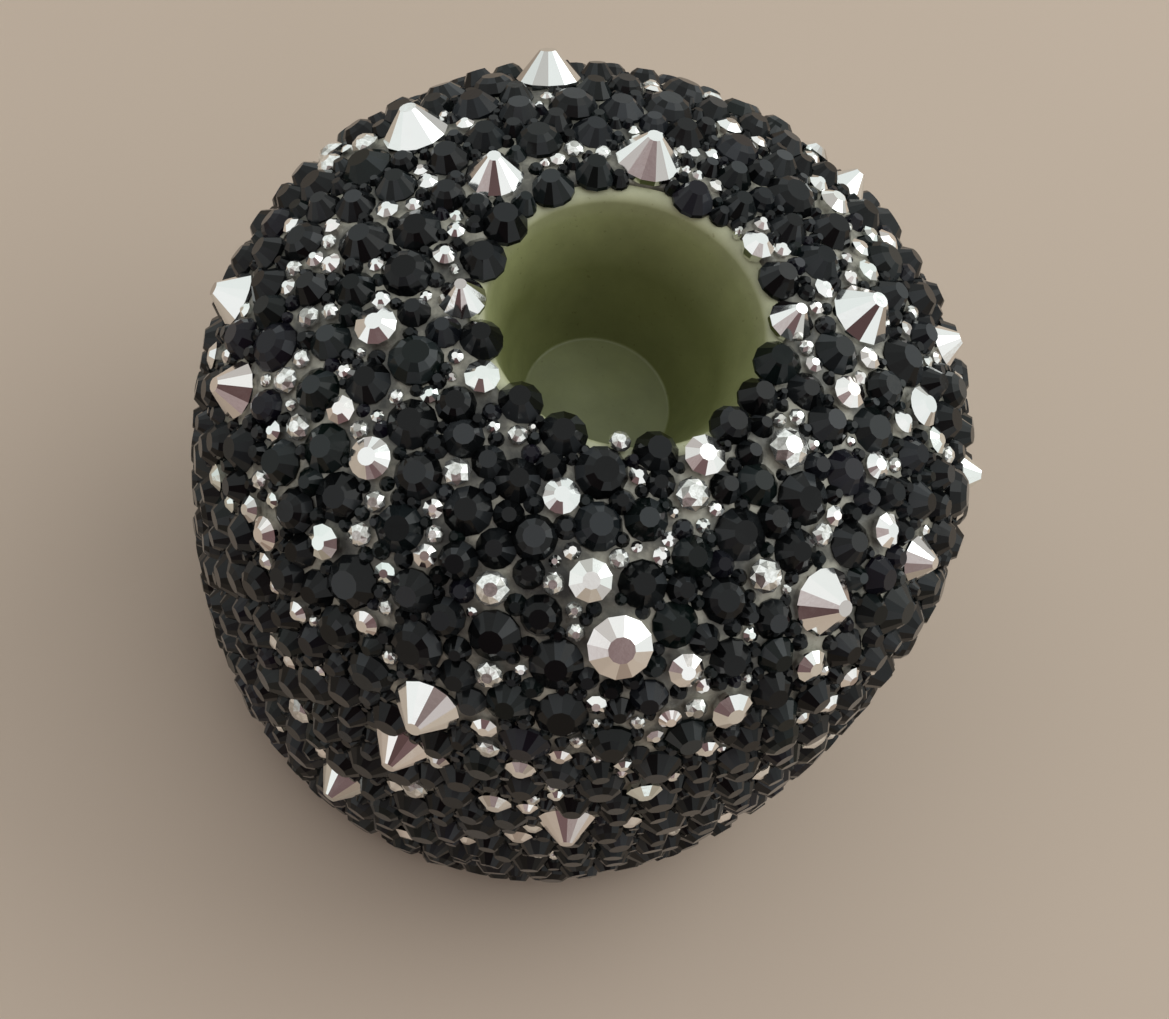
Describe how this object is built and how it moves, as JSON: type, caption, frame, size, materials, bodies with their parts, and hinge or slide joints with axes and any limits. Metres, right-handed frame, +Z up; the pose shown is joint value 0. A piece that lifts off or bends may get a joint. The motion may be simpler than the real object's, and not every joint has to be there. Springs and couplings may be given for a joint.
{
  "type": "candle holder",
  "caption": "Round ceramic candle holder with a tapered candle cup in its top, its outside set all over with glued black and silver cut stones.",
  "frame": {"origin": "on the table, under the middle of the foot ring", "axes": "+Z up along the axis of the candle cup; -Y is the pictured front, +X is to its right"},
  "size_m": [0.12, 0.1217, 0.1087],
  "materials": {
    "ceramic": "satin",
    "black_stone": "polished",
    "silver_stone": "polished"
  },
  "bodies": {
    "root": {"ceramic_body": "ceramic", "stone_row_01": "black_stone", "stone_row_02": "black_stone", "stone_row_03": "black_stone", "stone_row_04": "black_stone", "stone_row_05": "black_stone", "stone_row_06": "black_stone", "stone_row_07": "black_stone", "stone_row_08": "black_stone", "stone_row_09": "black_stone", "stone_row_10": "black_stone", "silver_stone_01": "silver_stone", "silver_stone_02": "silver_stone", "silver_stone_03": "silver_stone", "silver_stone_04": "silver_stone", "silver_stone_05": "silver_stone", "silver_stone_06": "silver_stone", "silver_stone_07": "silver_stone", "silver_stone_08": "silver_stone", "silver_stone_09": "silver_stone", "silver_stone_10": "silver_stone", "silver_stone_11": "silver_stone", "silver_stone_12": "silver_stone", "silver_stone_13": "silver_stone", "silver_stone_14": "silver_stone", "silver_stone_15": "silver_stone", "silver_stone_16": "silver_stone", "silver_stone_17": "silver_stone", "silver_stone_18": "silver_stone", "silver_stone_19": "silver_stone", "silver_stone_20": "silver_stone", "silver_stone_21": "silver_stone", "silver_stone_22": "silver_stone", "silver_stone_23": "silver_stone", "silver_stone_24": "silver_stone", "silver_stone_25": "silver_stone", "silver_stone_26": "silver_stone", "silver_stone_27": "silver_stone", "silver_stone_28": "silver_stone", "silver_stone_29": "silver_stone", "silver_stone_30": "silver_stone", "silver_stone_31": "silver_stone", "silver_stone_32": "silver_stone", "silver_stone_33": "silver_stone", "silver_stone_34": "silver_stone", "silver_stone_35": "silver_stone", "silver_stone_36": "silver_stone", "silver_stone_37": "silver_stone", "silver_stone_38": "silver_stone", "silver_stone_39": "silver_stone", "silver_stone_40": "silver_stone", "silver_stone_41": "silver_stone", "silver_stone_42": "silver_stone", "silver_stone_43": "silver_stone", "silver_stone_44": "silver_stone", "silver_stone_45": "silver_stone", "silver_stone_46": "silver_stone", "silver_stone_47": "silver_stone"}
  },
  "joints": []
}
